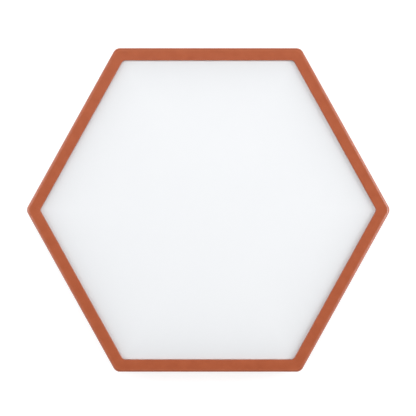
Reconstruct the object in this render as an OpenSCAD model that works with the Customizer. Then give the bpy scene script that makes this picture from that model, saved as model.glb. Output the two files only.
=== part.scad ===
// Hexagonal drum practice pad with a raised rim.
// A silicone playing surface on a stiff plate floats on foam pucks inside the rim,
// over a weighted core board. +Y is the flat side away from the player and +Z is up.
// The origin is on the table, under the middle of the pad.

/* [Outline] */
// Length of each of the six sides, along the rim's outer face
side_length = 175; // [160:1:190]
// Inside angle of the two corners on the long axis (the other four share the rest)
end_angle = 122; // [118:0.5:123]
// Width of the rim, seen from above
rim_width = 12; // [11:0.5:14]
// Radius of the rim's outer corners, seen from above
corner_radius = 7; // [6:0.5:9]
// Radius of the corners of the rim's opening, seen from above
opening_radius = 4; // [3:0.5:5]
// Radius of the rounded edge along the top of the rim
edge_radius = 3; // [1:0.25:3]

/* [Layers] */
// Gap that the feet leave between the table and the base
foot_gap = 4; // [3.5:0.5:6]
// Thickness of the base cover
base_thickness = 4; // [4:0.5:6]
// Thickness of the core board
core_thickness = 9; // [9:1:14]
// Height of the foam pucks
puck_height = 7; // [6:0.5:9]
// Thickness of the carrier plate
plate_thickness = 3; // [2:0.5:4]
// Thickness of the playing surface at its edge
surface_edge = 5.5; // [4.5:0.5:6.5]
// Rise of the playing surface from its edge to its middle
surface_crown = 0.75; // [0.5:0.25:1.5]
// Height of the rim above the middle of the playing surface
rim_rise = 2.75; // [2:0.25:5]
// Thickness of the foam gasket under the rim's lip
gasket_thickness = 1; // [0.5:0.25:1.5]

/* [Rim] */
// Thickness of the rim's outer wall and of its top
wall = 3; // [2.5:0.25:3.5]
// Thickness of the inner skirt that guides the carrier plate
skirt = 2.5; // [2:0.25:3]
// How far the lip overhangs the edge of the carrier plate
lip = 2.5; // [2:0.25:3]
// Number of stiffening ribs in each side of the rim
ribs_per_side = 5; // [3:1:7]

/* [Feet and stand thread] */
// Radius of a rubber foot where it meets the base
foot_radius = 12; // [11:0.5:15]
// Distance from the rim's outer face to the middle of a foot
foot_inset = 34; // [32:1:45]
// Radius of the hole in the stand insert, at the tap drill of its thread
thread_radius = 3.4; // [2.5:0.1:4]
// Depth of that hole
thread_depth = 10.5; // [8:0.5:10.5]
// Radius of the insert's flange
flange_radius = 16; // [15:0.5:20]

/* [Foam pucks] */
// Radius of a foam puck
puck_radius = 20; // [15:1:25]
// Distance from the rim's outer face to the middle of each outer puck
puck_inset = 50; // [45:1:60]

/* [Hidden] */
$fn = 64;
CORNERS = 6;
corner_steps = 8;                       // straight steps in each rounded corner
running_gap = 0.5;                      // between the moving plate and the skirt
fit_gap = 0.05;                         // between a screw and its pilot hole
cut = 1;                                // how far a cut runs past a face

// Heights of the faces, from the table up
base_bottom = foot_gap;
base_top = base_bottom + base_thickness;
core_top = base_top + core_thickness;
plate_bottom = core_top + puck_height;
plate_top = plate_bottom + plate_thickness;
lip_bottom = plate_top + gasket_thickness;
surface_top = plate_top + surface_edge + surface_crown;
rim_top = surface_top + rim_rise;

// Distances inwards from the rim's outer face
lip_inset = rim_width;
skirt_inside = rim_width - lip - running_gap;
skirt_outside = skirt_inside - skirt;
plate_inset = skirt_inside + running_gap;
surface_inset = rim_width + running_gap;
base_inset = 2;                         // shadow line under the rim
post_inset = rim_width;                 // screw posts, half sunk in the skirt

// Screws: [head radius, head height, shank radius, shank length]
rim_screw = [3, 2.2, 1.5, 12.6];
foot_screw = [3.5, 1.8, 1.75, 13.4];
flange_screw = [3.2, 1.8, 1.5, 7.5];
drive_width = 0.9;                      // arm of the cross drive
post_radius = 5;
post_height = core_thickness + 4;
counterbore = 2.4;
counterbore_radius = 3.6;

// Foot, from the table up
foot_taper = 1.5;
foot_sunk = 1;                          // depth of its seat in the base
foot_pocket = 3.4;                      // depth of the hollow that hides the screw
foot_pocket_radius = 5.5;
washer = [5, 0.8];                      // [radius, thickness]

// Stand insert
flange_thickness = 3;
flange_bottom = base_top - flange_thickness;
barrel_radius = 6.5;
barrel_height = 8.5;
flange_screw_circle = 11.5;
FLANGE_SCREWS = 3;

// Tongue of the base, inside the rim's hollow
tongue_gap = 0.3;
tongue_height = 3;
rib_thickness = 1.6;

// ---- The outline: six equal sides, and two end corners a little wider than the rest ----

slant = 90 - end_angle / 2;
side_angle = [slant, 90, 180 - slant, 180 + slant, 270, 360 - slant];
flat_apothem = side_length * sin(end_angle / 2);
slant_apothem = side_length * (0.5 + cos(end_angle / 2)) * cos(slant);

function apothem(k) = k % 3 == 1 ? flat_apothem : slant_apothem;

// Where two lines meet, each given by the direction and length of its normal
function meet(a, da, b, db) =
    [da * sin(b) - db * sin(a), db * cos(a) - da * cos(b)] / sin(b - a);

// Corner k of the hexagon that lies a given distance inside the outer face
function corner(k, inset) =
    let (before = (k + 5) % 6, after = k % 6)
    meet(side_angle[before], apothem(before) - inset, side_angle[after], apothem(after) - inset);

function mid_side(k, inset) = (corner(k, inset) + corner(k + 1, inset)) / 2;

// Corner radius at an inset: it runs evenly from the outer face to the opening, then stays small
function corner_round(inset) =
    max(1.5, corner_radius + (opening_radius - corner_radius) * inset / rim_width);

// The hexagon with its corners rounded by short straight steps
function outline(inset) =
    let (r = corner_round(inset))
    [for (k = [0:CORNERS - 1])
        let (from = side_angle[(k + 5) % 6], turn = (side_angle[k] - from + 360) % 360)
        for (step = [0:corner_steps])
            let (a = from + turn * step / corner_steps)
            corner(k, inset + r) + r * [cos(a), sin(a)]];

module slab(inset, bottom, top) {
    translate([0, 0, bottom])
        linear_extrude(top - bottom)
            polygon(outline(inset));
}

module band(outer, inner, bottom, top) {
    translate([0, 0, bottom])
        linear_extrude(top - bottom)
            difference() {
                polygon(outline(outer));
                polygon(outline(inner));
            }
}

module bore(radius, bottom, top) {
    translate([0, 0, bottom])
        cylinder(r = radius, h = top - bottom);
}

module at_corners(inset) {
    for (k = [0:CORNERS - 1])
        translate(corner(k, inset))
            children();
}

// The twelve places where the base is screwed to the rim
module at_rim_screws() {
    at_corners(post_inset)
        children();
    for (k = [0:CORNERS - 1])
        translate(mid_side(k, post_inset))
            children();
}

module at_flange_screws() {
    for (k = [0:FLANGE_SCREWS - 1])
        rotate(k * 360 / FLANGE_SCREWS)
            translate([flange_screw_circle, 0])
                children();
}

// ---- Rim ----

// The rim's outer shape: straight walls with a rounded edge round the top
module rim_outside() {
    film = 0.01;
    hull() {
        slab(0, base_top, rim_top - edge_radius);
        for (a = [30, 60, 90])
            slab(edge_radius * (1 - cos(a)), rim_top - edge_radius * (1 - sin(a)) - film,
                 rim_top - edge_radius * (1 - sin(a)));
    }
}

module rim_rib(k, share) {
    middle = (wall + skirt_outside) / 2;
    length = skirt_outside - wall + 0.4;
    place = corner(k, middle) * (1 - share) + corner(k + 1, middle) * share;
    bottom = base_top + tongue_height + 1;
    translate([place.x, place.y, bottom])
        rotate(side_angle[k])
            translate([-length / 2, -rib_thickness / 2, 0])
                cube([length, rib_thickness, rim_top - wall - bottom + 0.2]);
}

module rim_frame() {
    color("#B25F41")
        difference() {
            union() {
                difference() {
                    rim_outside();
                    slab(lip_inset, base_top - cut, rim_top + cut);
                    slab(skirt_inside, base_top - cut, lip_bottom);
                    band(wall, skirt_outside, base_top - cut, rim_top - wall);
                }
                at_rim_screws()
                    bore(post_radius, base_top, base_top + post_height);
                for (k = [0:CORNERS - 1])
                    for (rib = [1:ribs_per_side])
                        rim_rib(k, rib / (ribs_per_side + 1));
            }
            at_rim_screws()
                bore(rim_screw[2] + fit_gap, base_top - cut, base_top + post_height - cut);
        }
}

// ---- Playing head: the two pieces that move down together when the pad is struck ----

// A low crown that meets the edge in steeper and steeper steps
module playing_surface() {
    rise = [[0, 0], [1.5, 0.45], [12, 0.8], [70, 1]];
    film = 0.01;
    color("#F4F6F8")
        hull() {
            slab(surface_inset, plate_top, plate_top + surface_edge);
            for (step = rise)
                slab(surface_inset + step[0], surface_top - surface_crown * (1 - step[1]) - film,
                     surface_top - surface_crown * (1 - step[1]));
        }
}

module carrier_plate() {
    color("#8A6A4A")
        slab(plate_inset, plate_bottom, plate_top);
}

module foam_puck() {
    color("#4A4C50")
        bore(puck_radius, core_top, plate_bottom);
}

module edge_gasket() {
    side_gap = 0.3;
    color("#2B2C2E")
        band(plate_inset + side_gap, lip_inset - side_gap, plate_top, lip_bottom);
}

// ---- Core and base ----

module core_board() {
    scallop = post_radius + 0.6;
    barrel_gap = 0.1;
    color("#B08D62")
        difference() {
            slab(plate_inset, base_top, core_top);
            at_rim_screws()
                bore(scallop, base_top - cut, core_top + cut);
            bore(barrel_radius + barrel_gap, base_top - cut, core_top + cut);
            at_corners(foot_inset)
                bore(foot_screw[2] + fit_gap, base_top - cut, core_top - 0.5);
            at_flange_screws()
                bore(flange_screw[2] + fit_gap, base_top - cut, core_top - 2);
        }
}

module base_cover() {
    clearance = 0.2;
    flange_gap = 1;
    groove = [1.8, 0.8];                // [width, depth] of the two grooves underneath
    color("#34363A")
        difference() {
            union() {
                slab(base_inset, base_bottom, base_top);
                band(wall + tongue_gap, skirt_outside - tongue_gap, base_top - 0.5,
                     base_top + tongue_height);
            }
            at_rim_screws() {
                bore(counterbore_radius, base_bottom - cut, base_bottom + counterbore);
                bore(rim_screw[2] + clearance, base_bottom, base_top + cut);
            }
            at_corners(foot_inset) {
                bore(foot_radius + clearance, base_bottom - cut, base_bottom + foot_sunk);
                bore(foot_screw[2] + clearance, base_bottom, base_top + cut);
            }
            bore(flange_radius + flange_gap, base_bottom - cut, base_top + cut);
            for (inset = [foot_inset + 24, foot_inset + 32])
                band(inset, inset + groove[0], base_bottom - cut, base_bottom + groove[1]);
        }
}

// ---- Feet ----

module foot() {
    foot_top = base_bottom + foot_sunk;
    color("#1E1F21")
        difference() {
            cylinder(r1 = foot_radius - foot_taper, r2 = foot_radius, h = foot_top);
            bore(foot_pocket_radius, -cut, foot_pocket);
            bore(foot_screw[2] + 0.25, 0, foot_top + cut);
        }
}

module foot_washers() {
    color("silver")
        at_corners(foot_inset)
            difference() {
                bore(washer[0], foot_pocket - washer[1], foot_pocket);
                bore(foot_screw[2] + 0.25, 0, foot_pocket + cut);
            }
}

// ---- Stand insert ----

module stand_insert() {
    color("#C9A75B")
        difference() {
            union() {
                bore(flange_radius, flange_bottom, base_top);
                bore(barrel_radius, base_top - 0.5, base_top + barrel_height);
            }
            bore(thread_radius, flange_bottom - cut, flange_bottom + thread_depth);
            at_flange_screws()
                translate([0, 0, flange_bottom])
                    flange_screw_body(0.1);
        }
}

// ---- Screws, each standing head down ----

module cross_drive(reach, depth) {
    for (turn = [0, 90])
        rotate(turn)
            translate([-reach / 2, -drive_width / 2, -cut])
                cube([reach, drive_width, depth + cut]);
}

module pan_screw(size) {
    rounded = 0.5;
    difference() {
        union() {
            cylinder(r1 = size[0] - rounded, r2 = size[0], h = rounded);
            bore(size[0], rounded, size[1]);
            bore(size[2], size[1] - 0.2, size[1] + size[3]);
        }
        cross_drive(size[0] * 1.1, size[1] * 0.6);
    }
}

module flange_screw_body(gap) {
    translate([0, 0, -gap])
        cylinder(r1 = flange_screw[0] + gap, r2 = flange_screw[2] + gap, h = flange_screw[1] + gap);
    bore(flange_screw[2] + gap, flange_screw[1] - 0.2, flange_screw[1] + flange_screw[3]);
}

module rim_screws() {
    color("silver")
        at_rim_screws()
            translate([0, 0, base_bottom + counterbore - rim_screw[1]])
                pan_screw(rim_screw);
}

module foot_screws() {
    color("silver")
        at_corners(foot_inset)
            translate([0, 0, foot_pocket - washer[1] - foot_screw[1]])
                pan_screw(foot_screw);
}

module insert_screws() {
    color("silver")
        at_flange_screws()
            translate([0, 0, flange_bottom])
                difference() {
                    flange_screw_body(0);
                    cross_drive(flange_screw[0] * 1.1, 1.2);
                }
}

// ---- Nodes ----

rim_frame();
playing_surface();
carrier_plate();
edge_gasket();
core_board();
base_cover();
stand_insert();
insert_screws();
rim_screws();
foot_screws();
foot_washers();
foam_puck();  // foam_puck_centre
for (k = [1:CORNERS])
    translate(corner(k - 1, puck_inset)) foam_puck();
for (k = [1:CORNERS])
    translate(corner(k - 1, foot_inset)) foot();
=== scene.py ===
# %% [markdown]
# # A hexagonal practice pad
#
# A practice pad is a quiet drum: a rubbery playing surface that gives a little and throws the stick
# back. On this one a white silicone sheet floats on foam inside a terracotta rim, and the rim is
# screwed to a dark base with rubber feet and a threaded insert for a stand.
#
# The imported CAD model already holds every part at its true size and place. This file builds the looks
# around it: it loads that model as a fixed frame, reads sizes from it, and makes finer pieces that
# stand for its plain solids.

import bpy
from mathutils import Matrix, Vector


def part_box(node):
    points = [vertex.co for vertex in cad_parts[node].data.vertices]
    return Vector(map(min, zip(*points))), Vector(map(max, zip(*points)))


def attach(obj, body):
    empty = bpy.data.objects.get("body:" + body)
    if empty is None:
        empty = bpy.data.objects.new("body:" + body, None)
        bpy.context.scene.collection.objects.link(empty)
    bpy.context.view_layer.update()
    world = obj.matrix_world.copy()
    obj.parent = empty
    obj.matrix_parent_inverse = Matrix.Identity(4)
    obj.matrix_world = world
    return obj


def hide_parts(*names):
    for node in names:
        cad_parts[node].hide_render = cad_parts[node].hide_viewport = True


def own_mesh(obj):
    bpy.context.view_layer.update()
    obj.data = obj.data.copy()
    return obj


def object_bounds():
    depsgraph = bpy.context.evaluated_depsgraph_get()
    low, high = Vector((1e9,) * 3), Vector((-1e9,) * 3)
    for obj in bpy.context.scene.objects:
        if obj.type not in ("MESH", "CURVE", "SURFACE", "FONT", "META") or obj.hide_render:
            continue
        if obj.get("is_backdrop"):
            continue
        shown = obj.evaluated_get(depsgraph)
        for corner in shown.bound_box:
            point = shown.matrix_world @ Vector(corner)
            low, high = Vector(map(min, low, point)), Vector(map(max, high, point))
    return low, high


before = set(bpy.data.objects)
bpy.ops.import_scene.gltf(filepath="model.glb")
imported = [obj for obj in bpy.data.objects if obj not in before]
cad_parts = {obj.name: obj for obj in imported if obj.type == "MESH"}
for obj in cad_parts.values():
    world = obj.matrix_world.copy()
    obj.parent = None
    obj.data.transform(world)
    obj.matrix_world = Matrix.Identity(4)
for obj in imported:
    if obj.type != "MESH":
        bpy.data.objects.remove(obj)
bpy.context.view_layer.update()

# %% Tools
import math

import bmesh
import bpy
import numpy as np

MM = 0.001
CORNERS = 6

# %% [markdown]
# ## Sizes from the frame
#
# Every height and width below is a corner of some part's box. Only what a box can't tell, such as the
# width of the rim or the radius of a screw, is named.

# %% Heights and widths
rim_low, rim_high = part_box("rim_frame")
base_low, base_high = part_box("base_cover")
plate_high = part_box("carrier_plate")[1]
gasket_low, gasket_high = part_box("edge_gasket")
surface_low, surface_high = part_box("playing_surface")
insert_low, insert_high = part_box("stand_insert")
foot_low, foot_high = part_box("foot_1")

END_ANGLE = math.radians(122)           # inside angle of the two corners on the X axis
RIM_WIDTH = 12 * MM
LIP_REACH = 11.75 * MM                  # from the rim's outer face to the edge of its opening
WALL = 3 * MM
SKIRT = 2.5 * MM
CORNER_RADIUS = 7 * MM                  # of the rim's outer corners, seen from above
OPENING_RADIUS = 4 * MM                 # of the corners of its opening
LEAST_RADIUS = 1.5 * MM

side = rim_high.y / math.sin(END_ANGLE / 2)
plate_inset = rim_high.y - plate_high.y
base_inset = rim_high.y - base_high.y
foot_radius = (foot_high.y - foot_low.y) / 2
print(f"sides of {side / MM:.1f} mm, rim {rim_low.z / MM:.1f} to {rim_high.z / MM:.1f} mm high")

# %% [markdown]
# ## The hexagon
#
# All the big pieces follow one outline. Its six sides are equal, and the two corners at the ends of the
# long axis are a little wider than the other four. Each side is a straight line, given by the direction
# of its normal and its distance from the middle, so an inset is a subtraction and a corner is where two
# lines meet. A rounded corner is an arc whose centre lies one radius further in.
#
# Working the outline out from lines, and not from a list of corner points, lets a single function give
# it at any number of insets in one go, and every ring has the same count of points, ready to be joined.

# %% The outline at any inset
ARC_STEPS = 12
SIDE_STEPS = 24

slant = math.pi / 2 - END_ANGLE / 2
normal_after = np.array([slant, math.pi / 2, math.pi - slant,
                         math.pi + slant, 3 * math.pi / 2, 2 * math.pi - slant])
normal_before = np.roll(normal_after, 1)
normal_before[0] -= 2 * math.pi
flat_distance = side * math.sin(END_ANGLE / 2)
slanted_distance = side * (0.5 + math.cos(END_ANGLE / 2)) * math.cos(slant)
distance_after = np.array([slanted_distance, flat_distance, slanted_distance] * 2)
distance_before = np.roll(distance_after, 1)


def sharp_corners(inset):
    """The six corners at each inset. Lines with normals at a and b, p and q from the middle, meet at
    (p sin b - q sin a, q cos a - p cos b) / sin(b - a)."""
    a, b = normal_before, normal_after
    p = distance_before - np.asarray(inset, float)[..., None]
    q = distance_after - np.asarray(inset, float)[..., None]
    meeting = [p * np.sin(b) - q * np.sin(a), q * np.cos(a) - p * np.cos(b)]
    return np.stack(meeting, -1) / np.sin(b - a)[:, None]


def corner_round(inset):
    """The corner radius at an inset: it runs evenly from the rim's outer face to its opening."""
    radius = CORNER_RADIUS + (OPENING_RADIUS - CORNER_RADIUS) * np.asarray(inset, float) / RIM_WIDTH
    return np.maximum(radius, LEAST_RADIUS)


def outline(inset):
    """The rounded hexagon at each inset, as rings of points. A corner's arc is
    centre + radius (cos w, sin w), with w turning from one side's normal to the next. A side is
    start + share (end - start), between the ends of two arcs."""
    inset = np.asarray(inset, float)
    radius = corner_round(inset)
    centre = sharp_corners(inset + radius)
    turn = np.linspace(0, 1, ARC_STEPS + 1)
    w = normal_before[:, None] + (normal_after - normal_before)[:, None] * turn
    arc = centre[..., None, :] + radius[..., None, None, None] * np.stack([np.cos(w), np.sin(w)], -1)
    start, end = arc[..., -1, :], np.roll(arc[..., 0, :], -1, axis=-2)
    share = np.linspace(0, 1, SIDE_STEPS + 1)[1:-1, None]
    line = start[..., None, :] + (end - start)[..., None, :] * share
    ring = np.concatenate([arc, line], axis=-2)
    return ring.reshape(*inset.shape, -1, 2)


def middles(inset):
    """The middle of each side at an inset."""
    corners = sharp_corners(inset)
    return (corners + np.roll(corners, -1, axis=-2)) / 2


print("points round one ring:", len(outline(0.0)))

# %% [markdown]
# ## From a section to a surface
#
# Moulded and turned parts are described by a section. The same closed line of (across, height) points
# can be carried round the hexagon, which gives the rim, or round the Z axis, which gives a foot or a
# screw. No moulding has a knife edge, so the section's corners are first turned into small arcs.
#
# Both kinds of sweep give a grid of points, one row for each point of the section. A grid closes on
# itself along its columns, and along its rows either because the section is a loop or because it ends
# in a pole, where a whole row sits on one point.

# %% Rounding a section
def rounded(points, radii, steps=6):
    """A section with each corner replaced by an arc that touches both edges, at radius / tan(h) from
    the corner, where h is half the corner's angle. A and B run from the arc's centre to its two ends,
    w is the angle between them, and the points are centre + (A sin((1 - s) w) + B sin(s w)) / sin w."""
    corner, radius = np.asarray(points, float), np.asarray(radii, float)[:, None]
    back, ahead = np.roll(corner, 1, 0) - corner, np.roll(corner, -1, 0) - corner
    back /= np.linalg.norm(back, axis=1, keepdims=True)
    ahead /= np.linalg.norm(ahead, axis=1, keepdims=True)
    half = np.arccos(np.clip((back * ahead).sum(1, keepdims=True), -1, 1)) / 2
    middle = back + ahead
    middle /= np.maximum(np.linalg.norm(middle, axis=1, keepdims=True), 1e-9)
    centre = corner + middle * radius / np.sin(half)
    first = corner + back * radius / np.tan(half) - centre
    last = corner + ahead * radius / np.tan(half) - centre
    w = (math.pi - 2 * half)[:, :, None]
    s = np.linspace(0, 1, steps + 1)[None, :, None]
    weights = np.sin((1 - s) * w) * first[:, None] + np.sin(s * w) * last[:, None]
    arc = centre[:, None] + weights / np.maximum(np.sin(w), 1e-9)
    return arc.reshape(-1, 2)


# %% Sweeping it
def round_the_hexagon(section):
    """The grid of a section of (inset, height) points: row i is the outline at inset i, at height i."""
    inset, height = np.asarray(section, float).T
    xy = outline(inset)
    return np.dstack([xy, np.broadcast_to(height[:, None], xy.shape[:2])])


def round_the_axis(section, columns=48):
    """The grid of a section of (radius, height) points: (r cos w, r sin w, z), for w round the circle."""
    r, z = np.asarray(section, float).T
    w = np.linspace(0, 2 * math.pi, columns, endpoint=False)
    return np.stack([r[:, None] * np.cos(w), r[:, None] * np.sin(w), z[:, None] + 0 * w], -1)


def pole(height, like):
    """A row of the grid with all its points on the Z axis, which closes the grid there."""
    return np.zeros((1, like.shape[1], 3)) + [0, 0, height]


# %% [markdown]
# ## From a grid to a piece
#
# A grid's quads are made with index arrays. Six times the volume inside a closed surface is the sum of
# each triangle's a . (b x c), and it comes out negative when the faces point inwards, so every shape
# can set its own faces right. A group of equal parts, such as the screws, is one shape set down at
# several places.

# %% Shapes and pieces
SHARP_ANGLE = 35                        # degrees


def shape(grid, loop=False):
    """The points and quads of a closed grid. Loop says that the last row joins the first."""
    rows, columns = grid.shape[:2]
    index = np.arange(rows * columns).reshape(rows, columns)
    index = np.hstack([index, index[:, :1]])
    if loop:
        index = np.vstack([index, index[:1]])
    quads = np.stack([index[:-1, :-1], index[:-1, 1:], index[1:, 1:], index[1:, :-1]], -1).reshape(-1, 4)
    points = grid.reshape(-1, 3)
    a, b, c, d = (points[quads[:, k]] for k in range(4))
    six_volumes = (a * np.cross(b, c)).sum() + (a * np.cross(c, d)).sum()
    return points, quads if six_volumes > 0 else quads[:, ::-1]


def copies(made, places, turns=0.0):
    """A shape set down at each place (x, y), or (x, y, z), turned about its own Z axis by each angle."""
    points, quads = made
    places = np.asarray(places, float)
    places = np.pad(places, ((0, 0), (0, 3 - places.shape[1])))
    w = np.broadcast_to(turns, len(places))[:, None]
    x, y, z = points.T
    turned = np.stack([x * np.cos(w) - y * np.sin(w), x * np.sin(w) + y * np.cos(w), z + 0 * w], -1)
    everywhere = (turned + places[:, None]).reshape(-1, 3)
    shift = np.arange(len(places))[:, None, None] * len(points)
    return everywhere, (quads + shift).reshape(-1, 4)


def piece(name, *shapes):
    """One Blender object from closed shapes: points that coincide are merged, which turns the quads
    at a pole into triangles, and edges that turn by more than the sharp angle are shaded as edges."""
    counts = np.cumsum([0] + [len(points) for points, quads in shapes])
    points = np.concatenate([points for points, quads in shapes])
    quads = np.concatenate([quads + start for (_, quads), start in zip(shapes, counts)])
    mesh = bpy.data.meshes.new(name)
    mesh.from_pydata(points, [], quads.tolist())
    work = bmesh.new()
    work.from_mesh(mesh)
    bmesh.ops.remove_doubles(work, verts=work.verts, dist=0.002 * MM)
    bmesh.ops.dissolve_degenerate(work, edges=work.edges, dist=0.001 * MM)
    work.to_mesh(mesh)
    work.free()
    made = bpy.data.objects.new(name, mesh)
    bpy.context.scene.collection.objects.link(made)
    shade(made)
    return made


def shade(made, sharp=SHARP_ANGLE):
    """Smooth shading, broken at the edges that turn by more than the sharp angle."""
    made.data.polygons.foreach_set("use_smooth", [True] * len(made.data.polygons))
    made.data.set_sharp_from_angle(angle=math.radians(sharp))


def combine(target, tool, operation, sharp=SHARP_ANGLE):
    """Joins the tool to the target (UNION) or cuts it away (DIFFERENCE), and keeps the result."""
    modifier = target.modifiers.new("combine", "BOOLEAN")
    modifier.object, modifier.operation, modifier.solver = tool, operation, "EXACT"
    evaluated = target.evaluated_get(bpy.context.evaluated_depsgraph_get())
    mesh = bpy.data.meshes.new_from_object(evaluated)
    target.modifiers.clear()
    target.data = mesh
    bpy.data.objects.remove(tool)
    shade(target, sharp)


def dress(made, body, slot, finish, *stands_for):
    """Gives a piece its finish and its body, and hides the CAD nodes that it stands for."""
    made.data.materials.clear()
    made.data.materials.append(finish)
    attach(made, body)
    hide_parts(*stands_for)
    print(f"{made.name}: {len(made.data.polygons)} faces")


# %% [markdown]
# ## Finishes
#
# No surface is one flat colour. Three effects turn up again and again, so each is a node group:
#
# - *moulded grain*: the fine sparkle that an etched mould leaves in plastic and rubber;
# - *soft unevenness*: slow drifts of tone, as pigment and handling leave them;
# - *rubbed edges*: a mask that is high where the surface turns sharply, so that edges can be lighter.
#
# The groups put out masks and heights only. The Principled shader stays in each material, and its
# constant values are set straight on its sockets.

# %% Group helpers
def new_group(name, inputs, outputs):
    """An empty node group with named sockets. Inputs map a name to (socket type, default)."""
    tree = bpy.data.node_groups.new(name, "ShaderNodeTree")
    for socket, (kind, default) in inputs.items():
        made = tree.interface.new_socket(socket, in_out="INPUT", socket_type=kind)
        made.default_value = default
    for socket in outputs:
        tree.interface.new_socket(socket, in_out="OUTPUT", socket_type="NodeSocketFloat")
    return tree, tree.nodes.new("NodeGroupInput"), tree.nodes.new("NodeGroupOutput")


def node(tree, kind, settings=None, **inputs):
    """A node with its settings and inputs filled in. An input given as a socket is linked, and one
    named _6 is the seventh, for nodes that have several inputs of one name."""
    made = tree.nodes.new("ShaderNode" + kind)
    for name, value in (settings or {}).items():
        setattr(made, name, value)
    for name, value in inputs.items():
        socket = made.inputs[int(name[1:])] if name[1:].isdigit() else made.inputs[name]
        if isinstance(value, bpy.types.NodeSocket):
            tree.links.new(value, socket)
        else:
            socket.default_value = value
    return made


def maths(tree, operation, first, second=0.0, clamp=False):
    """first (operation) second, as a Math node's output."""
    made = node(tree, "Math", {"operation": operation, "use_clamp": clamp}, _0=first, _1=second)
    return made.outputs[0]


# %% The three effects
FLOAT = "NodeSocketFloat"

grain, grain_in, grain_out = new_group(
    "moulded grain", {"Grain per metre": (FLOAT, 2500.0), "Softness": (FLOAT, 0.5)}, ["Height"])
where = node(grain, "TexCoord").outputs["Object"]
fine = node(grain, "TexNoise", Vector=where, Scale=grain_in.outputs["Grain per metre"],
            Detail=3.0, Roughness=grain_in.outputs["Softness"])
pits = node(grain, "TexVoronoi", {"feature": "SMOOTH_F1"}, Vector=where,
            Scale=grain_in.outputs["Grain per metre"], Smoothness=0.6)
both = maths(grain, "ADD", fine.outputs["Fac"], maths(grain, "MULTIPLY", pits.outputs["Distance"], 0.5))
grain.links.new(both, grain_out.inputs["Height"])

drift, drift_in, drift_out = new_group(
    "soft unevenness", {"Patches per metre": (FLOAT, 60.0), "Contrast": (FLOAT, 1.0)}, ["Tone"])
where = node(drift, "TexCoord").outputs["Object"]
cloud = node(drift, "TexNoise", Vector=where, Scale=drift_in.outputs["Patches per metre"],
             Detail=4.0, Roughness=0.6, Distortion=0.3)
centred = maths(drift, "SUBTRACT", cloud.outputs["Fac"], 0.5)
scaled = maths(drift, "MULTIPLY", centred, drift_in.outputs["Contrast"])
drift.links.new(maths(drift, "ADD", scaled, 0.5, clamp=True), drift_out.inputs["Tone"])

rubbed, rubbed_in, rubbed_out = new_group(
    "rubbed edges", {"Width": (FLOAT, 0.6 * MM), "Strength": (FLOAT, 3.0)}, ["Mask"])
softened = node(rubbed, "Bevel", {"samples": 4}, Radius=rubbed_in.outputs["Width"])
true_normal = node(rubbed, "NewGeometry").outputs["Normal"]
agreement = node(rubbed, "VectorMath", {"operation": "DOT_PRODUCT"},
                 _0=softened.outputs["Normal"], _1=true_normal).outputs["Value"]
turning = maths(rubbed, "SUBTRACT", 1.0, agreement)
patchy = node(rubbed, "TexNoise", Vector=node(rubbed, "TexCoord").outputs["Object"],
              Scale=400.0, Detail=2.0).outputs["Fac"]
strong = maths(rubbed, "MULTIPLY", turning, rubbed_in.outputs["Strength"])
amount = maths(rubbed, "MULTIPLY", strong, patchy)
rubbed.links.new(maths(rubbed, "MINIMUM", amount, 1.0, clamp=True), rubbed_out.inputs["Mask"])
print("shared effects:", [tree.name for tree in bpy.data.node_groups])


# %% A material and what feeds it
def effect(tree, group, output, **inputs):
    """One of the shared groups placed in a material, with its own values. Underscores stand for spaces."""
    made = tree.nodes.new("ShaderNodeGroup")
    made.node_tree = group
    for name, value in inputs.items():
        made.inputs[name.replace("_", " ")].default_value = value
    return made.outputs[output]


def blended(tree, mask, low, high):
    """A colour that goes from low to high as the mask goes from 0 to 1. Either may be a socket."""
    made = node(tree, "Mix", {"data_type": "RGBA"}, _0=mask, _6=low, _7=high)
    return made.outputs[2]


def spread(tree, mask, low, high):
    """A number that goes from low to high as the mask goes from 0 to 1."""
    made = node(tree, "MapRange", **{"Value": mask, "To Min": low, "To Max": high})
    return made.outputs["Result"]


def rgba(red, green, blue):
    return (red, green, blue, 1.0)


def new_material(name, **sockets):
    """A material with a Principled shader whose constant values are set straight on its sockets."""
    made = bpy.data.materials.new(name)
    made.use_nodes = True
    shader = made.node_tree.nodes["Principled BSDF"]
    for socket, value in sockets.items():
        shader.inputs[socket.replace("_", " ")].default_value = value
    return made, made.node_tree, shader


def finish_with(tree, shader, colour, roughness, height, depth):
    """Links the colour, the roughness, and a height as a bump of the given depth to the shader."""
    bump = node(tree, "Bump", Height=height, Distance=depth, Strength=1.0)
    tree.links.new(colour, shader.inputs["Base Color"])
    tree.links.new(roughness, shader.inputs["Roughness"])
    tree.links.new(bump.outputs["Normal"], shader.inputs["Normal"])


# %% [markdown]
# ### The rim: terracotta moulding
#
# The rim is through-coloured plastic with a fine matt grain. Its tone drifts a little, and where a hand
# takes hold of it, along the rounded edges, it is a shade lighter.

# %% Terracotta
terracotta, tree, shader = new_material("terracotta moulding", Specular_IOR_Level=0.85)
tone = effect(tree, drift, "Tone", Patches_per_metre=110.0, Contrast=1.6)
plain = blended(tree, tone, rgba(0.355, 0.064, 0.011), rgba(0.425, 0.088, 0.022))
edge = effect(tree, rubbed, "Mask", Width=1.0 * MM, Strength=0.25)
colour = blended(tree, edge, plain, rgba(0.5, 0.14, 0.06))
height = effect(tree, grain, "Height", Grain_per_metre=1900.0, Softness=0.55)
finish_with(tree, shader, colour, spread(tree, tone, 0.27, 0.33), height, 0.03 * MM)

# %% [markdown]
# ### The playing surface: white silicone
#
# Silicone is matt because its skin scatters light, and it is never quite pure white: there is a trace
# of blue in it. Towards the rim its colour carries painted shade: it darkens, the way shade falls near the
# rim's lip, and the darkening falls off exponentially with the distance from the edge. In the last two
# millimetres the colour turns back to white, painted light against the real shadow in the gap there:
# share = exp(-distance / shade reach) - exp(-distance / light reach).

# %% White silicone
# how far the painted shade near the rim and the painted light right at it reach
PAINTED_SHADE_REACH = 20.0                       # both in millimetres, like the stored distance
PAINTED_LIGHT_REACH = 1.5

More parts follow.
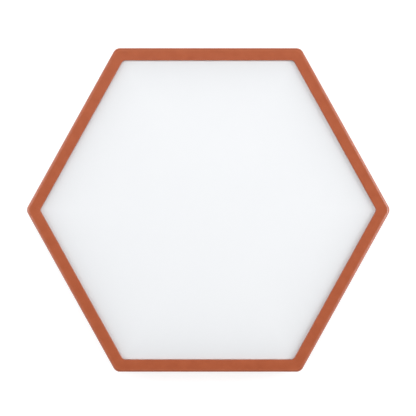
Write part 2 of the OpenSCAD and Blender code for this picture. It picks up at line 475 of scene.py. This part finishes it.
silicone, tree, shader = new_material("white silicone", Specular_IOR_Level=0.3)
tone = effect(tree, drift, "Tone", Patches_per_metre=14.0, Contrast=1.0)
white = blended(tree, tone, rgba(0.802, 0.812, 0.828), rgba(0.817, 0.825, 0.837))
distance = node(tree, "Attribute", {"attribute_name": "from the edge"}).outputs["Fac"]
# painted shade: the colour darkens towards the rim, then turns back to white, painted light, at the rim
painted_shade = maths(tree, "EXPONENT", maths(tree, "DIVIDE", distance, -PAINTED_SHADE_REACH))
painted_light_at_rim = maths(tree, "EXPONENT", maths(tree, "DIVIDE", distance, -PAINTED_LIGHT_REACH))
share = maths(tree, "SUBTRACT", painted_shade, painted_light_at_rim, clamp=True)
# rgba(0.7, 0.709, 0.722) is the colour of the painted shade
colour = blended(tree, share, white, rgba(0.7, 0.709, 0.722))
height = effect(tree, grain, "Height", Grain_per_metre=2800.0, Softness=0.5)
finish_with(tree, shader, colour, spread(tree, tone, 0.56, 0.66), height, 0.02 * MM)

# %% [markdown]
# ### The base: charcoal moulding
#
# A spark-eroded mould leaves a coarser, pebbly grain, which hides scratches on the underside.

# %% Charcoal plastic
charcoal, tree, shader = new_material("charcoal moulding", Specular_IOR_Level=0.45)
tone = effect(tree, drift, "Tone", Patches_per_metre=45.0, Contrast=1.8)
plain = blended(tree, tone, rgba(0.022, 0.023, 0.026), rgba(0.036, 0.037, 0.041))
edge = effect(tree, rubbed, "Mask", Width=0.5 * MM, Strength=3.0)
colour = blended(tree, edge, plain, rgba(0.09, 0.092, 0.098))
height = effect(tree, grain, "Height", Grain_per_metre=1100.0, Softness=0.6)
finish_with(tree, shader, colour, spread(tree, tone, 0.55, 0.7), height, 0.12 * MM)

# %% [markdown]
# ### The feet: black rubber
#
# Rubber takes up dust, so it is greyer in patches, and rougher there too.

# %% Rubber
rubber, tree, shader = new_material("black rubber", Specular_IOR_Level=0.35)
dust = effect(tree, drift, "Tone", Patches_per_metre=220.0, Contrast=2.4)
colour = blended(tree, dust, rgba(0.012, 0.012, 0.013), rgba(0.034, 0.033, 0.032))
height = effect(tree, grain, "Height", Grain_per_metre=3000.0, Softness=0.6)
finish_with(tree, shader, colour, spread(tree, dust, 0.62, 0.82), height, 0.04 * MM)

# %% [markdown]
# ### Foam
#
# The pucks and the gasket are closed-cell foam: a dark skin of tiny round cells.

# %% Foam
foam, tree, shader = new_material("closed-cell foam", Specular_IOR_Level=0.2)
cells = node(tree, "TexVoronoi", {"feature": "F1"}, Vector=node(tree, "TexCoord").outputs["Object"],
             Scale=1400.0).outputs["Distance"]
colour = blended(tree, cells, rgba(0.02, 0.021, 0.023), rgba(0.06, 0.062, 0.066))
finish_with(tree, shader, colour, spread(tree, cells, 0.75, 0.9), cells, 0.25 * MM)

# %% [markdown]
# ### Boards
#
# The core is medium-density fibreboard, pressed from short pale fibres that lie flat, so its pattern is
# squashed in height. The carrier is tempered hardboard: darker, harder, with fine brown specks.

# %% Fibreboard and hardboard
def board(name, pale, dark, fleck_scale, rough):
    """Pressed fibre: noise stretched along X and Y, because the fibres lie flat in the sheet."""
    made, tree, shader = new_material(name, Specular_IOR_Level=0.3)
    flat = node(tree, "Mapping", Vector=node(tree, "TexCoord").outputs["Object"], Scale=(1, 1, 4))
    flecks = node(tree, "TexNoise", Vector=flat.outputs["Vector"], Scale=fleck_scale, Detail=6.0,
                  Roughness=0.7, Distortion=1.2).outputs["Fac"]
    contrast = node(tree, "MapRange", **{"Value": flecks, "From Min": 0.35, "From Max": 0.65})
    mask = contrast.outputs["Result"]
    finish_with(tree, shader, blended(tree, mask, pale, dark), spread(tree, mask, *rough), mask, 0.05 * MM)
    return made


fibreboard = board("pressed fibreboard", rgba(0.47, 0.32, 0.18), rgba(0.36, 0.22, 0.11), 700.0, (0.75, 0.9))
hardboard = board("tempered hardboard", rgba(0.21, 0.12, 0.065), rgba(0.11, 0.058, 0.03), 1500.0,
                  (0.4, 0.6))

# %% [markdown]
# ### Metals
#
# The screws are zinc-plated: a cool, slightly cloudy metal. The insert is turned brass, so it carries
# the fine rings that a lathe leaves, which are a wave on the distance from its axis.

# %% Zinc and brass
zinc, tree, shader = new_material("zinc plate", Metallic=1.0)
cloudy = effect(tree, drift, "Tone", Patches_per_metre=900.0, Contrast=1.8)
colour = blended(tree, cloudy, rgba(0.42, 0.43, 0.45), rgba(0.6, 0.61, 0.62))
height = effect(tree, grain, "Height", Grain_per_metre=5000.0, Softness=0.4)
finish_with(tree, shader, colour, spread(tree, cloudy, 0.24, 0.42), height, 0.008 * MM)

brass, tree, shader = new_material("turned brass", Metallic=1.0)
rings = node(tree, "TexWave", {"wave_type": "RINGS", "rings_direction": "Z", "wave_profile": "SIN"},
             Vector=node(tree, "TexCoord").outputs["Object"], Scale=900.0, Distortion=0.6,
             Detail=2.0).outputs["Fac"]
tarnish = effect(tree, drift, "Tone", Patches_per_metre=260.0, Contrast=2.0)
colour = blended(tree, tarnish, rgba(0.52, 0.34, 0.13), rgba(0.72, 0.52, 0.24))
finish_with(tree, shader, colour, spread(tree, tarnish, 0.45, 0.26), rings, 0.01 * MM)
finishes = (terracotta, silicone, charcoal, rubber, foam, fibreboard, hardboard, zinc, brass)
print("finishes:", [finish.name for finish in finishes])

# %% [markdown]
# ## The rim
#
# The real rim is one injection moulding: an outer wall, a flat top, a lip that holds the playing head
# down, a skirt that guides it, and a hollow between wall and skirt so that the plastic cools evenly.
# Its section is one closed line, carried round the hexagon. The outer top edge has a generous round,
# because sticks and hands meet it there; the edge of the opening has a smaller one. The top between
# them is not quite flat. It bulges by about a tenth of a millimetre, as moulders make wide flat faces
# do, so that it can't sink; it shows only as a faint change of tone from one edge to the other.
#
# Screw posts and stiffening ribs break that even section, so they are separate shapes. They are joined
# to the swept ring with a Boolean union, which leaves a single clean skin.

# %% The rim's section
EDGE_ROUND = 3 * MM
OPENING_ROUND = 0.5 * MM
BULGE = 0.12 * MM
BULGE_RADIUS = 200 * MM
PLATE_ROOM = 0.5 * MM                   # between the skirt and the plate that slides in it

skirt_inside = plate_inset - PLATE_ROOM
skirt_outside = skirt_inside - SKIRT
lip_bottom = gasket_high.z
top, bottom = rim_high.z, rim_low.z
rim_corners = [
    # (inset, height, corner radius), up the outside, over the top and back down
    (0, bottom, 0.4 * MM),
    (0, top - BULGE, EDGE_ROUND),
    (RIM_WIDTH / 2, top, BULGE_RADIUS),
    (LIP_REACH, top - BULGE, OPENING_ROUND),
    (LIP_REACH, lip_bottom, 0.3 * MM),
    (skirt_inside, lip_bottom, 0.3 * MM),
    (skirt_inside, bottom, 0.3 * MM),
    (skirt_outside, bottom, 0.3 * MM),
    (skirt_outside, top - WALL, 0.6 * MM),
    (WALL, top - WALL, 0.6 * MM),
    (WALL, bottom, 0.3 * MM),
]
rim_corners = np.array(rim_corners)
rim_ring = shape(round_the_hexagon(rounded(rim_corners[:, :2], rim_corners[:, 2], steps=8)), loop=True)
rim = piece("rim", rim_ring)
print("section corners:", len(rim_corners))

# %% Posts and ribs
POST_RADIUS = 5 * MM
POST_HEIGHT = 13 * MM
POST_CAP = 1 * MM                       # solid plastic above the pilot hole
PILOT_RADIUS = 1.55 * MM
PILOT_CHAMFER = 0.5 * MM
RIBS_PER_SIDE = 5
RIB_THICKNESS = 1.6 * MM
RIB_ROOT = 0.2 * MM                     # how far a rib reaches into the walls that it joins
RIB_ROOM = 1 * MM                       # between a rib and the cover's tongue
TONGUE_HEIGHT = 3 * MM

screw_places = np.concatenate([sharp_corners(RIM_WIDTH), middles(RIM_WIDTH)])
post_top = bottom + POST_HEIGHT
pilot_end = post_top - POST_CAP
post_section = [(PILOT_RADIUS, pilot_end), (PILOT_RADIUS, bottom + PILOT_CHAMFER),
                (PILOT_RADIUS + PILOT_CHAMFER, bottom), (POST_RADIUS, bottom), (POST_RADIUS, post_top)]
post_grid = round_the_axis(post_section)
post_grid = np.concatenate([pole(pilot_end, post_grid), post_grid, pole(post_top, post_grid)])
posts = piece("posts", copies(shape(post_grid), screw_places))


def rib_shape(angle, place):
    """A thin block across the hollow: the corners of a box, turned to the side's normal."""
    reach = (skirt_outside - WALL) / 2 + RIB_ROOT
    low, high = bottom + TONGUE_HEIGHT + RIB_ROOM, top - WALL + RIB_ROOT
    across = np.array([-reach, reach, reach, -reach])
    along = np.array([-1, -1, 1, 1]) * RIB_THICKNESS / 2
    x = place[0] + across * math.cos(angle) - along * math.sin(angle)
    y = place[1] + across * math.sin(angle) + along * math.cos(angle)
    ring = np.stack([x, y], -1)
    rows = [np.pad(ring, ((0, 0), (0, 1)), constant_values=z) for z in (low, high)]
    ends = [np.broadcast_to(row.mean(0), row.shape) for row in rows]
    return shape(np.stack([ends[0], *rows, ends[1]]))


hollow_corners = sharp_corners((WALL + skirt_outside) / 2)
shares = np.arange(1, RIBS_PER_SIDE + 1) / (RIBS_PER_SIDE + 1)
rib_places = [(normal_after[k], hollow_corners[k] * (1 - s) + hollow_corners[(k + 1) % CORNERS] * s)
              for k in range(CORNERS) for s in shares]
ribs = piece("ribs", *[rib_shape(angle, place) for angle, place in rib_places])
combine(rim, posts, "UNION")
combine(rim, ribs, "UNION")
dress(rim, "pad_frame", "rim_plastic", terracotta, "rim_frame")

# %% [markdown]
# ## The playing surface
#
# The silicone sheet is cast with a low crown, so that it never looks dished, and its edge is softly
# rounded where it meets the gap to the rim. Seen from above this is nearly all there is. The way light
# falls off across it comes partly from its true shape; the broad darkening towards the rim is painted
# shade in its colour.
#
# Its top is a function of the share u of the way from the middle to the edge: each ring is the edge's
# outline scaled by u, and its height falls as u to the fourth power, so the middle stays flat.
#
# Every point also stores how far it lies from the nearest side, in millimetres, for the painted shade in
# the finish to read: that is the least, over the six sides, of the side's distance from the middle minus
# x cos a + y sin a.

# %% White crown
CROWN = 0.25 * MM
SURFACE_ROUND = 0.2 * MM
SURFACE_GAP = 0.05 * MM                 # between the sheet and the rim's opening
SURFACE_SINK = 0.05 * MM                # how far its top lies below the CAD solid's highest point
LOWER_CHAMFER = 0.3 * MM
CROWN_RINGS = 60
SHOULDER_STEPS = 8

surface_edge = LIP_REACH + SURFACE_GAP
edge_ring = outline(surface_edge + SURFACE_ROUND)
surface_top = surface_high.z - SURFACE_SINK
u = np.linspace(0, 1, CROWN_RINGS)[:, None, None]
crown_height = surface_top - CROWN * u ** 4
crown = np.concatenate([u * edge_ring, crown_height + 0 * edge_ring[..., :1]], axis=-1)
w = np.linspace(0, math.pi / 2, SHOULDER_STEPS + 1)[1:]
shoulder = np.stack([surface_edge + SURFACE_ROUND * (1 - np.sin(w)),
                     surface_top - CROWN - SURFACE_ROUND * (1 - np.cos(w))], -1)
lower_edge = [(surface_edge, surface_low.z + LOWER_CHAMFER), (surface_edge + LOWER_CHAMFER, surface_low.z)]
sides = round_the_hexagon(np.concatenate([shoulder, lower_edge]))
surface_grid = np.concatenate([crown, sides, pole(surface_low.z, crown)])
playing_surface = piece("playing_skin", shape(surface_grid))

# the distance from the edge, which the painted shade in the finish reads
positions = np.empty(3 * len(playing_surface.data.vertices))
playing_surface.data.vertices.foreach_get("co", positions)
x, y = positions.reshape(-1, 3)[:, :2].T[..., None]
from_the_edge = (distance_after - surface_edge - x * np.cos(normal_after) - y * np.sin(normal_after)).min(1)
stored = playing_surface.data.attributes.new("from the edge", "FLOAT", "POINT")
stored.data.foreach_set("value", np.maximum(from_the_edge, 0) / MM)
dress(playing_surface, "playing_head", "playing_silicone", silicone, "playing_surface")

# %% [markdown]
# ## Foam underneath
#
# Under the plate sit seven foam pucks, cut from sheet with a punch, so their sides bow out slightly
# under the weight they carry. A thin strip of the same foam lies between the plate and the rim's lip.
# When the pad is struck the plate comes down and the pucks flatten towards the board below.

# %% Pucks
PUCK_BOW = 0.5 * MM                     # how much wider a puck is at half its height
CUT_EDGE = 0.5 * MM

for name in ["foam_puck_centre"] + [f"foam_puck_{k}" for k in range(1, CORNERS + 1)]:
    low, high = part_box(name)
    radius, tall = (high.x - low.x) / 2, high.z - low.z
    v = np.linspace(0, 1, 15)
    bow = radius - PUCK_BOW * (2 * v - 1) ** 2
    wall_section = np.stack([bow, low.z + CUT_EDGE + (tall - 2 * CUT_EDGE) * v], -1)
    section = np.concatenate([[(radius - PUCK_BOW - CUT_EDGE, low.z)], wall_section,
                              [(radius - PUCK_BOW - CUT_EDGE, high.z)]])
    grid = round_the_axis(section, columns=64)
    grid = np.concatenate([pole(low.z, grid), grid, pole(high.z, grid)])
    puck = piece(name.replace("foam_", "") + "_cut", copies(shape(grid), [((low + high) / 2)[:2]]))
    dress(puck, "pad_frame", "foam", foam, name)
    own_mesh(puck)

# %% The gasket strip
GASKET_ROUND = 0.25 * MM
GASKET_SETBACK = 0.3 * MM               # so that the strip stays hidden behind the lip's edge

gasket_outside = rim_high.y - gasket_high.y
gasket_inside = LIP_REACH - GASKET_SETBACK
gasket_corners = [(gasket_outside, gasket_low.z), (gasket_outside, gasket_high.z),
                  (gasket_inside, gasket_high.z), (gasket_inside, gasket_low.z)]
gasket_section = rounded(gasket_corners, [GASKET_ROUND] * 4, steps=3)
gasket = piece("gasket_strip", shape(round_the_hexagon(gasket_section), loop=True))
dress(gasket, "pad_frame", "foam", foam, "edge_gasket")

# %% [markdown]
# ## The boards
#
# The core board and the carrier plate are flat sheets with drilled holes. Their CAD shape is already
# right, so they stay as they are and only take a finish.

# %% Finish the boards
for name, finish in {"core_board": fibreboard, "carrier_plate": hardboard}.items():
    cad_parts[name].data.materials.clear()
    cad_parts[name].data.materials.append(finish)
    print(name, "is", finish.name)

# %% [markdown]
# ## The base cover
#
# The cover is a shallow moulding. It sits inside the rim's outer face, which leaves a dark shadow line
# all round, and a tongue on top of it fits up into the rim's hollow. Underneath it has two thin
# grooves, seats for the feet, counterbores for the screws and an opening for the insert.
#
# The plate is a section carried round the hexagon, from a pole in the middle of the underside to a pole
# in the middle of the top. The holes are turned cutters, each with a small chamfer at its mouth, and
# one Boolean difference takes them all away.

# %% The cover's section
TONGUE_GAP = 0.3 * MM
FOOT_INSET = 34 * MM
GROOVES_PAST_FEET = (32 * MM, 24 * MM)
GROOVE_WIDTH = 1.8 * MM
GROOVE_DEPTH = 0.8 * MM
under, over = base_low.z, base_high.z - TONGUE_HEIGHT

cover_corners = []
for further in GROOVES_PAST_FEET:
    inset = FOOT_INSET + further
    cover_corners += [
        (inset + GROOVE_WIDTH, under, 0.2 * MM),
        (inset + GROOVE_WIDTH, under + GROOVE_DEPTH, 0.3 * MM),
        (inset, under + GROOVE_DEPTH, 0.3 * MM),
        (inset, under, 0.2 * MM),
    ]
cover_corners += [
    (base_inset, under, 1.0 * MM),
    (base_inset, over, 0.2 * MM),
    (WALL + TONGUE_GAP, over, 0.2 * MM),
    (WALL + TONGUE_GAP, base_high.z, 0.6 * MM),
    (skirt_outside - TONGUE_GAP, base_high.z, 0.6 * MM),
    (skirt_outside - TONGUE_GAP, over, 0.2 * MM),
]
cover_corners = np.array(cover_corners)
cover_grid = round_the_hexagon(rounded(cover_corners[:, :2], cover_corners[:, 2], steps=4))
cover_grid = np.concatenate([pole(under, cover_grid), cover_grid, pole(over, cover_grid)])
cover = piece("base", shape(cover_grid))


# %% Its holes
def turned_cutter(section, places, columns=48):
    """A cutter turned from (radius, height) points, closed by a pole at each end."""
    grid = round_the_axis(section, columns)
    grid = np.concatenate([pole(section[0][1], grid), grid, pole(section[-1][1], grid)])
    return copies(shape(grid), places)


CHAMFER = 0.3 * MM
PAST = 1 * MM                           # how far a cutter runs past a face
COUNTERBORE = 2.4 * MM
RIM_SCREW_MOUTH = 3.6 * MM
RIM_SCREW_DRILL = 1.7 * MM
FOOT_ROOM = 0.2 * MM
FOOT_SCREW_DRILL = 1.95 * MM
INSERT_ROOM = 1 * MM

foot_places = sharp_corners(FOOT_INSET)
foot_top = foot_high.z
opening = insert_high.x + INSERT_ROOM


def stepped_hole(mouth, depth, drill):
    """A wide mouth with a chamfer, then a narrower drilled hole right through."""
    return [(mouth + CHAMFER + PAST, under - PAST), (mouth, under + CHAMFER), (mouth, depth),
            (drill, depth), (drill, over + PAST)]


holes = piece(
    "holes",
    turned_cutter(stepped_hole(RIM_SCREW_MOUTH, under + COUNTERBORE, RIM_SCREW_DRILL), screw_places),
    turned_cutter(stepped_hole(foot_radius + FOOT_ROOM, foot_top, FOOT_SCREW_DRILL), foot_places),
    turned_cutter([(opening + CHAMFER + PAST, under - PAST), (opening, under + CHAMFER),
                   (opening, over + PAST)], [(0, 0)], columns=96))
combine(cover, holes, "DIFFERENCE", sharp=30)
dress(cover, "pad_frame", "base_plastic", charcoal, "base_cover")

# %% [markdown]
# ## The feet
#
# Each foot is a rubber button with saw-toothed grip rings in its face and a pocket that hides its screw
# and washer. The section is a closed loop, carried round the foot's own axis.

# %% Six rubber feet
FOOT_TAPER = 1.5 * MM
POCKET_RADIUS = 5.5 * MM
POCKET_DEPTH = 3.4 * MM
FOOT_BORE = 2.0 * MM
GRIP_DEPTH = 0.5 * MM
GRIP_ROUND = 0.12 * MM
GRIP_RINGS = 6

face_edge = foot_radius - FOOT_TAPER
grip_pitch = (face_edge - POCKET_RADIUS) / (GRIP_RINGS + 1)
grip = [(face_edge - ring * grip_pitch, height, GRIP_ROUND)
        for ring in range(1, GRIP_RINGS + 1) for height in (0, GRIP_DEPTH)]
foot_corners = np.array([
    # (radius, height, corner radius), along the face and back through the pocket and the bore
    (face_edge, 0, 0.4 * MM),
    *grip,
    (POCKET_RADIUS, 0, 0.3 * MM),
    (POCKET_RADIUS, POCKET_DEPTH, 0.3 * MM),
    (FOOT_BORE, POCKET_DEPTH, 0.1 * MM),
    (FOOT_BORE, foot_top, 0.1 * MM),
    (foot_radius, foot_top, 0.4 * MM),
])
foot_shape = shape(round_the_axis(rounded(foot_corners[:, :2], foot_corners[:, 2], steps=3), 64), loop=True)
for k, place in enumerate(foot_places, start=1):
    foot = piece(f"rubber_foot_{k}", copies(foot_shape, [place]))
    dress(foot, "pad_frame", "foot_rubber", rubber, f"foot_{k}")

# %% [markdown]
# ## Screws and washers
#
# All the screws have a cross drive. Around the screw's axis the edge of the cross is a distance that
# depends on the angle alone, so it fits the same grid as the round head: one row is the floor of the
# drive, the next its mouth, and then the rows become circles. Fifteen-degree columns put a point on
# each corner of the cross when its arms are tan 15 degrees as wide as they are long.
#
# The thread is the shank's radius with a triangle wave on it. The wave runs on height minus the share
# of a turn, which makes it climb once round the screw for each turn.

# %% A screw's grid
SCREW_COLUMNS = 48
DRIVE_REACH = 0.58                      # as shares of the head's radius
DRIVE_FLAT = 0.72
DRIVE_DEPTH = 0.55                      # as a share of the head's height
DRIVE_FLOOR = 0.78                      # the floor's size as a share of the mouth's
HEAD_ROUND = 0.7 * MM
SINK_RIM = (0.15 * MM, 0.12 * MM)       # the bevel round a countersunk head: across and up
NECK = 0.4 * MM                         # plain shank under the head
TIP = 1.2 * MM
SCREW_THREAD = 0.32 * MM
SCREW_PITCH = 1.1 * MM
THREAD_STEP = 0.16 * MM


def cross_edge(angle, reach):
    """The edge of a cross at an angle: reach / cos w across the end of an arm, half its width / sin w
    along its side, with w the angle from the nearest arm."""
    w = np.abs((angle + math.pi / 4) % (math.pi / 2) - math.pi / 4)
    arm = reach * math.tan(math.pi / 12)
    return np.where(w <= math.pi / 12 + 1e-6, reach / np.cos(w), arm / np.maximum(np.sin(w), 1e-6))


def threaded(heights, angle, root, depth, pitch):
    """The radius of a thread: root + depth times a triangle wave of height / pitch - share of a turn."""
    phase = (heights[:, None] / pitch - angle / (2 * math.pi)) % 1
    return root + depth * (1 - np.abs(2 * phase - 1))


def screw_grid(head_radius, head_height, shank, length, countersunk=False):
    """A screw standing on its head at height 0, with its shank pointing up."""
    angle = np.linspace(0, 2 * math.pi, SCREW_COLUMNS, endpoint=False)
    edge = cross_edge(angle, DRIVE_REACH * head_radius)
    depth, end = DRIVE_DEPTH * head_height, head_height + length
    circle = np.ones_like(angle)
    rows = [(0 * angle, depth), (DRIVE_FLOOR * edge, depth), (edge, 0)]
    rows += [(DRIVE_FLAT * head_radius * circle, 0)]
    if countersunk:
        across, up = SINK_RIM
        rows += [((head_radius - across) * circle, 0), (head_radius * circle, up)]
        rows += [(shank * circle, head_height)]
    else:
        bend = np.linspace(0, math.pi / 2, 6)
        rows += [((head_radius - HEAD_ROUND * (1 - math.sin(b))) * circle, HEAD_ROUND * (1 - math.cos(b)))
                 for b in bend]
        rows += [(head_radius * circle, head_height), (shank * circle, head_height)]
    heights = np.arange(head_height + NECK, end - TIP, THREAD_STEP)
    spiral = threaded(heights, angle, shank - SCREW_THREAD, SCREW_THREAD, SCREW_PITCH)
    rows += [(shank * circle, head_height + NECK / 2)] + list(zip(spiral, heights))
    rows += [(0.5 * shank * circle, end - 0.5 * MM), (0 * angle, end)]
    radius = np.stack([r for r, z in rows])
    tall = np.array([z for r, z in rows])[:, None]
    return np.stack([radius * np.cos(angle), radius * np.sin(angle), tall + 0 * angle], -1)


# %% Rim, foot and insert screws
GOLDEN_TURN = math.radians(137.5)       # so that no two drives point the same way
FLANGE_CIRCLE = 11.5 * MM
FLANGE_SCREWS = 3

flange_angle = np.arange(FLANGE_SCREWS) * 2 * math.pi / FLANGE_SCREWS
flange_places = FLANGE_CIRCLE * np.stack([np.cos(flange_angle), np.sin(flange_angle)], -1)
screw_sets = {
    # node: (head radius, head height, shank radius, shank length, countersunk, places)
    "rim_screws": (3 * MM, 2.2 * MM, 1.5 * MM, 12.6 * MM, False, screw_places),
    "foot_screws": (3.5 * MM, 1.8 * MM, 1.75 * MM, 13.4 * MM, False, foot_places),
    "insert_screws": (3.2 * MM, 1.8 * MM, 1.5 * MM, 7.5 * MM, True, flange_places),
}
for node_name, (*sizes, countersunk, places) in screw_sets.items():
    stands_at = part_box(node_name)[0].z
    shift = np.pad(places, ((0, 0), (0, 1)), constant_values=stands_at)
    turns = np.arange(len(places)) * GOLDEN_TURN
    screws = piece(node_name.replace("_screws", "_cross_screws"),
                   copies(shape(screw_grid(*sizes, countersunk)), shift, turns))
    dress(screws, "pad_frame", "screw_steel", zinc, node_name)

# %% Washers
WASHER_BORE = 2.0 * MM
WASHER_ROUND = 0.15 * MM

washer_low, washer_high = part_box("foot_washers")
washer_radius = washer_high.x - foot_places[:, 0].max()
washer_corners = [(WASHER_BORE, washer_low.z), (washer_radius, washer_low.z),
                  (washer_radius, washer_high.z), (WASHER_BORE, washer_high.z)]
washer_section = rounded(washer_corners, [WASHER_ROUND] * 4, steps=3)
washers = piece("flat_washers", copies(shape(round_the_axis(washer_section), loop=True), foot_places))
dress(washers, "pad_frame", "screw_steel", zinc, "foot_washers")

# %% [markdown]
# ## The stand insert
#
# The insert is turned from brass: a flange that lies in the base's opening and a barrel that stands in
# the core board, with a blind M8 thread that a stand's stud screws into. It is one grid, from a pole at
# the bottom of the thread, down the threaded wall, out over the flange and up the barrel to a second
# pole. The three countersinks are cut afterwards.

# %% Brass insert
THREAD_MINOR = 3.4 * MM
THREAD_DEPTH = 0.55 * MM
THREAD_PITCH = 1.25 * MM
HOLE_DEPTH = 10.5 * MM
THREAD_LEAD = 0.9 * MM                  # the chamfer where the stud goes in
THREAD_RUNOUT = 1 * MM                  # plain bore past the last turn
BARREL_RADIUS = 6.5 * MM
SINK_RADIUS = 3.3 * MM
SINK_DEPTH = 1.8 * MM
SINK_DRILL = 1.6 * MM
INSERT_COLUMNS = 64

mouth, flange_top = insert_low.z, over
flange, hole_end = insert_high.x, mouth + HOLE_DEPTH
insert_angle = np.linspace(0, 2 * math.pi, INSERT_COLUMNS, endpoint=False)
thread_heights = np.arange(hole_end - THREAD_RUNOUT, mouth + THREAD_LEAD, -THREAD_PITCH / 8)
thread_radius = threaded(thread_heights, insert_angle, THREAD_MINOR, THREAD_DEPTH, THREAD_PITCH)
thread_rows = np.stack([thread_radius * np.cos(insert_angle), thread_radius * np.sin(insert_angle),
                        thread_heights[:, None] + 0 * insert_angle], -1)
plain_bore = [(THREAD_MINOR, hole_end), (THREAD_MINOR, hole_end - THREAD_RUNOUT / 2)]
plain_rows = round_the_axis(plain_bore, INSERT_COLUMNS)
outside_corners = np.array([
    # (radius, height, corner radius), out over the flange and up the barrel
    (THREAD_MINOR + THREAD_LEAD, mouth, 0),
    (flange, mouth, 0.4 * MM),
    (flange, flange_top, 0.3 * MM),
    (BARREL_RADIUS, flange_top, 0.3 * MM),
    (BARREL_RADIUS, insert_high.z, 0.5 * MM),
    (MM, insert_high.z, 0),
])
outside_section = rounded(outside_corners[:, :2], outside_corners[:, 2], steps=4)
outside = round_the_axis(outside_section, INSERT_COLUMNS)
insert_grid = np.concatenate([pole(hole_end, outside), plain_rows, thread_rows, outside,
                              pole(insert_high.z, outside)])
insert = piece("brass_insert", shape(insert_grid))
sink = [(SINK_RADIUS + PAST, mouth - PAST), (SINK_RADIUS, mouth),
        (SINK_DRILL, mouth + SINK_DEPTH), (SINK_DRILL, flange_top + PAST)]
sinks = piece("sinks", turned_cutter(sink, flange_places))
combine(insert, sinks, "DIFFERENCE", sharp=30)
dress(insert, "pad_frame", "insert_brass", brass, "stand_insert")

# %% [markdown]
# ## The studio
#
# The pad lies face up on a pale floor and is seen from straight above, through a long lens, so that its
# rim shows only its top. The floor glows a little, as an over-lit product sweep does, and so it stays
# clean white right up to the object.
#
# Two wide softboxes stand low on the left and right: the rounded outer edges mirror them towards the
# lens as a thin light line, while the two sides that face neither softbox stay plain. Two strips above
# them make that line brighter. Only diffuse rays are kept from seeing the strips, so they show in the
# gloss of a surface and add nothing to its tone.
#
# The key light hangs nearly overhead, towards the far side. Studios put crossed polarising filters on
# such a light and on the lens, so that it lights a surface without being mirrored in it, and here it is
# hidden from glossy rays.

# %% Floor
FLOOR_SIZE = 6.0
FLOOR_DROP = 0.02 * MM                  # so that the feet and the floor share no plane

corners = FLOOR_SIZE * np.array([(-1, -1), (1, -1), (1, 1), (-1, 1)]) / 2
floor_mesh = bpy.data.meshes.new("floor")
floor_mesh.from_pydata([(x, y, -FLOOR_DROP) for x, y in corners], [], [(0, 1, 2, 3)])
floor = bpy.data.objects.new("floor", floor_mesh)
bpy.context.scene.collection.objects.link(floor)
paper, tree, shader = new_material("pale floor", Roughness=0.9, Specular_IOR_Level=0.0,
                                   Base_Color=rgba(0.5, 0.5, 0.5), Emission_Color=rgba(1, 1, 1),
                                   Emission_Strength=0.68)
floor.data.materials.append(paper)
floor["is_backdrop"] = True

# %% Lights
def soft_light(name, place, aim, size, watts):
    """A rectangular area light at a place, turned to face its aim."""
    data = bpy.data.lights.new(name, "AREA")
    data.shape, data.size, data.size_y = "RECTANGLE", *size
    data.energy = watts
    made = bpy.data.objects.new(name, data)
    made.location = place
    direction = (np.array(aim) - np.array(place)).tolist()
    made.rotation_euler = Vector(direction).to_track_quat("-Z", "Y").to_euler()
    bpy.context.scene.collection.objects.link(made)
    return made


MIDDLE = (0, 0, 0.03)                   # of the pad, near its top

soft_light("right softbox", (1.3, 0.05, 0.7), MIDDLE, (1.35, 0.85), 15.5)
soft_light("left softbox", (-1.3, 0.05, 0.7), MIDDLE, (1.35, 1.0), 11)
key = soft_light("polarised key", (-0.15, 0.45, 1.1), (0, 0, 0), (0.7, 0.7), 4.6)
key.visible_glossy = False
for name, x, watts in (("left edge strip", -1.2, 6), ("right edge strip", 1.2, 15)):
    strip = soft_light(name, (x, 0, 1.0), MIDDLE, (1.5, 0.7), watts)
    strip.visible_diffuse = False

world = bpy.data.worlds.new("studio")
bpy.context.scene.world = world
world.use_nodes = True
tree = world.node_tree
sky = tree.nodes["Background"]
sky.inputs["Color"].default_value = rgba(0.97, 0.985, 1.0)
sky.inputs["Strength"].default_value = 0.385
backdrop = tree.nodes.new("ShaderNodeBackground")
backdrop.inputs["Color"].default_value = rgba(1, 1, 1)
seen = tree.nodes.new("ShaderNodeMixShader")
tree.links.new(tree.nodes.new("ShaderNodeLightPath").outputs["Is Camera Ray"], seen.inputs[0])
tree.links.new(sky.outputs[0], seen.inputs[1])
tree.links.new(backdrop.outputs[0], seen.inputs[2])
tree.links.new(seen.outputs[0], tree.nodes["World Output"].inputs["Surface"])
bpy.context.scene.view_settings.view_transform = "Standard"

# %% [markdown]
# The camera's distance comes from the width that it has to see at the height of the rim's top: with a
# sensor 36 mm wide, distance = width x lens / 36.

# %% Camera
LENS = 150.0
SENSOR = 36.0
SEEN_WIDTH = 392.6 * MM
AIM = (-0.2 * MM, 1.85 * MM)            # the pad sits a touch below the middle of the picture

camera_data = bpy.data.cameras.new("camera")
camera_data.lens, camera_data.sensor_width = LENS, SENSOR
camera = bpy.data.objects.new("camera", camera_data)
camera.location = (*AIM, rim_high.z + SEEN_WIDTH * LENS / SENSOR)
bpy.context.scene.collection.objects.link(camera)
bpy.context.scene.camera = camera
print(f"camera {camera.location.z:.2f} m up")

# %% [markdown]
# ## The visual box
#
# The box of the visual model is printed, in metres.

# %% The visual box
low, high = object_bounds()
print("visual box in metres:", [round(x, 4) for x in high - low])
